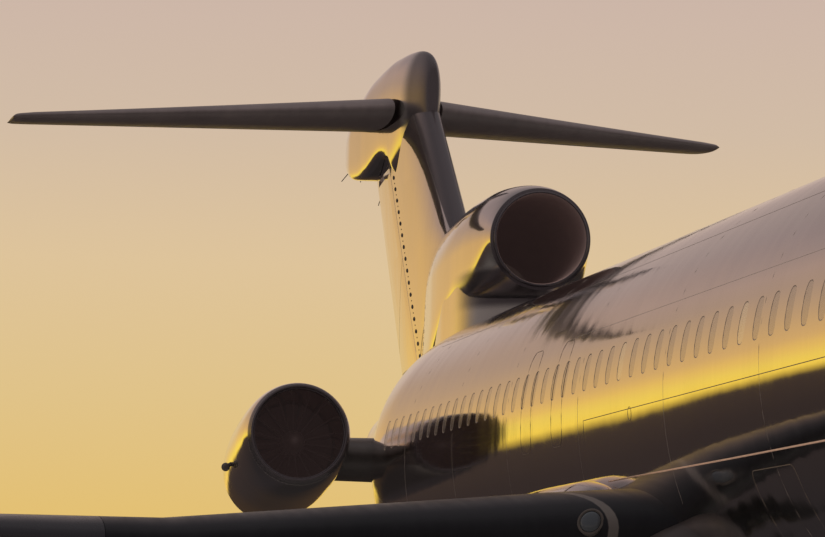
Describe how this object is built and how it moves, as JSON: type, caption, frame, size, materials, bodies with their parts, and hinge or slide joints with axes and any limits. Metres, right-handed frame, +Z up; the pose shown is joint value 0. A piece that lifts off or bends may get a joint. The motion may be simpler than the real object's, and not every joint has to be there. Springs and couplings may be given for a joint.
{
  "type": "scale model trijet airliner",
  "caption": "Half-scale model of a stretched T-tail airliner with rear engines, parked on its gear, with working control surfaces, fans, wheels, nose steering and rear airstair.",
  "frame": {"origin": "on the floor, at the middle of the aircraft's length and width", "axes": "+X towards the nose, +Y to port, +Z up"},
  "size_m": [23.345, 16.46, 5.1375],
  "materials": {
    "polished_skin": "polished bare skin with faint panel lines",
    "leading_edge": "dark gloss leading edge",
    "cockpit_glass": "dark tinted glass",
    "engine_metal": "dull dark metal",
    "exhaust_steel": "heat-stained bare metal",
    "bare_steel": "bright bare metal",
    "gear_paint": "satin light grey paint",
    "tyre": "worn matt rubber"
  },
  "bodies": {
    "airframe": {"radome": "polished_skin", "windshield": "cockpit_glass", "fuselage": "polished_skin", "belly_fairing": "polished_skin", "wing_left": "polished_skin", "wing_right": "polished_skin", "slat_left": "leading_edge", "slat_right": "leading_edge", "inner_flap_left": "polished_skin", "inner_flap_right": "polished_skin", "outer_flap_left": "polished_skin", "outer_flap_right": "polished_skin", "centre_duct": "polished_skin", "fin": "polished_skin", "bullet_fairing": "polished_skin", "cowl_left": "polished_skin", "cowl_right": "polished_skin", "nozzle_left": "exhaust_steel", "nozzle_right": "exhaust_steel", "engine_left": "engine_metal", "engine_right": "engine_metal", "inlet_vanes_left": "engine_metal", "inlet_vanes_right": "engine_metal", "pylon_left": "polished_skin", "pylon_right": "polished_skin", "engine_centre": "engine_metal", "nozzle_centre": "exhaust_steel", "nose_leg": "gear_paint", "nose_gear_door_left": "polished_skin", "nose_gear_door_right": "polished_skin", "main_leg_left": "gear_paint", "main_leg_right": "gear_paint"},
    "airstair": {"airstair": "polished_skin"},
    "tailplane": {"tailplane_left": "polished_skin", "tailplane_right": "polished_skin", "tailplane_shaft": "bare_steel"},
    "elevator_left": {"elevator_left": "polished_skin"},
    "elevator_right": {"elevator_right": "polished_skin"},
    "upper_rudder": {"upper_rudder": "polished_skin"},
    "lower_rudder": {"lower_rudder": "polished_skin"},
    "inner_aileron_left": {"inner_aileron_left": "polished_skin"},
    "inner_aileron_right": {"inner_aileron_right": "polished_skin"},
    "outer_aileron_left": {"outer_aileron_left": "polished_skin"},
    "outer_aileron_right": {"outer_aileron_right": "polished_skin"},
    "spoiler_left": {"spoiler_left": "polished_skin"},
    "spoiler_right": {"spoiler_right": "polished_skin"},
    "fan_left": {"fan_left": "engine_metal"},
    "fan_right": {"fan_right": "engine_metal"},
    "nose_strut": {"nose_piston": "bare_steel"},
    "nose_wheels": {"nose_wheels": "gear_paint", "nose_tyre_left": "tyre", "nose_tyre_right": "tyre"},
    "main_wheels_left": {"main_wheels_left": "gear_paint", "main_tyre_outer_left": "tyre", "main_tyre_inner_left": "tyre"},
    "main_wheels_right": {"main_wheels_right": "gear_paint", "main_tyre_outer_right": "tyre", "main_tyre_inner_right": "tyre"}
  },
  "joints": [
    {"name": "airstair_hinge", "type": "hinge", "parent": "airframe", "child": "airstair", "pos_m": [-5.2175, 0, 1.115], "axis": [0, -1, 0], "range_deg": [0, 45]},
    {"name": "tailplane_trim", "type": "hinge", "parent": "airframe", "child": "tailplane", "pos_m": [-9.7775, 0, 4.735], "axis": [0, 1, 0], "range_deg": [-3.5, 9.5]},
    {"name": "elevator_left", "type": "hinge", "parent": "tailplane", "child": "elevator_left", "pos_m": [-9.99592, 0.1725, 4.74454], "axis": [-0.4337, 0.9009, 0.0189], "range_deg": [-15, 25]},
    {"name": "elevator_right", "type": "hinge", "parent": "tailplane", "child": "elevator_right", "pos_m": [-9.99592, -0.1725, 4.74454], "axis": [0.4337, 0.9009, -0.0189], "range_deg": [-15, 25]},
    {"name": "upper_rudder", "type": "hinge", "parent": "airframe", "child": "upper_rudder", "pos_m": [-8.72171, 0, 3.8], "axis": [-0.728, 0, 0.6855], "range_deg": [-18, 18]},
    {"name": "lower_rudder", "type": "hinge", "parent": "airframe", "child": "lower_rudder", "pos_m": [-7.7075, 0, 2.845], "axis": [-0.728, 0, 0.6855], "range_deg": [-18, 18]},
    {"name": "inner_aileron_left", "type": "hinge", "parent": "airframe", "child": "inner_aileron_left", "pos_m": [-0.39314, 3.075, 1.13953], "axis": [-0.4265, 0.9029, 0.0534], "range_deg": [-20, 20]},
    {"name": "inner_aileron_right", "type": "hinge", "parent": "airframe", "child": "inner_aileron_right", "pos_m": [-0.39314, -3.075, 1.13953], "axis": [0.4265, 0.9029, -0.0534], "range_deg": [-20, 20]},
    {"name": "outer_aileron_left", "type": "hinge", "parent": "airframe", "child": "outer_aileron_left", "pos_m": [-1.8775, 6.25, 1.3257], "axis": [-0.4312, 0.9006, 0.0537], "range_deg": [-20, 20]},
    {"name": "outer_aileron_right", "type": "hinge", "parent": "airframe", "child": "outer_aileron_right", "pos_m": [-1.8775, -6.25, 1.3257], "axis": [0.4312, 0.9006, -0.0537], "range_deg": [-20, 20]},
    {"name": "spoiler_left", "type": "hinge", "parent": "airframe", "child": "spoiler_left", "pos_m": [-0.39662, 3.8, 1.29372], "axis": [-0.4575, 0.8885, 0.0354], "range_deg": [0, 40]},
    {"name": "spoiler_right", "type": "hinge", "parent": "airframe", "child": "spoiler_right", "pos_m": [-0.39662, -3.8, 1.29372], "axis": [0.4575, 0.8885, -0.0354], "range_deg": [0, 40]},
    {"name": "fan_left", "type": "hinge", "parent": "airframe", "child": "fan_left", "pos_m": [-4.7522, 1.38213, 2.0464], "axis": [0.9962, 0.0697, 0.0523], "continuous": true},
    {"name": "fan_right", "type": "hinge", "parent": "airframe", "child": "fan_right", "pos_m": [-4.7522, -1.38213, 2.0464], "axis": [0.9962, -0.0697, 0.0523], "continuous": true},
    {"name": "nose_steering", "type": "hinge", "parent": "airframe", "child": "nose_strut", "pos_m": [9.3725, 0, 0.6], "axis": [0, 0, 1], "range_deg": [-78, 78]},
    {"name": "nose_wheel_axle", "type": "hinge", "parent": "nose_strut", "child": "nose_wheels", "pos_m": [9.3725, 0, 0.2025], "axis": [0, 1, 0], "continuous": true},
    {"name": "main_wheel_axle_left", "type": "hinge", "parent": "airframe", "child": "main_wheels_left", "pos_m": [-0.2675, 1.43, 0.31125], "axis": [0, 1, 0], "continuous": true},
    {"name": "main_wheel_axle_right", "type": "hinge", "parent": "airframe", "child": "main_wheels_right", "pos_m": [-0.2675, -1.43, 0.31125], "axis": [0, 1, 0], "continuous": true}
  ]
}
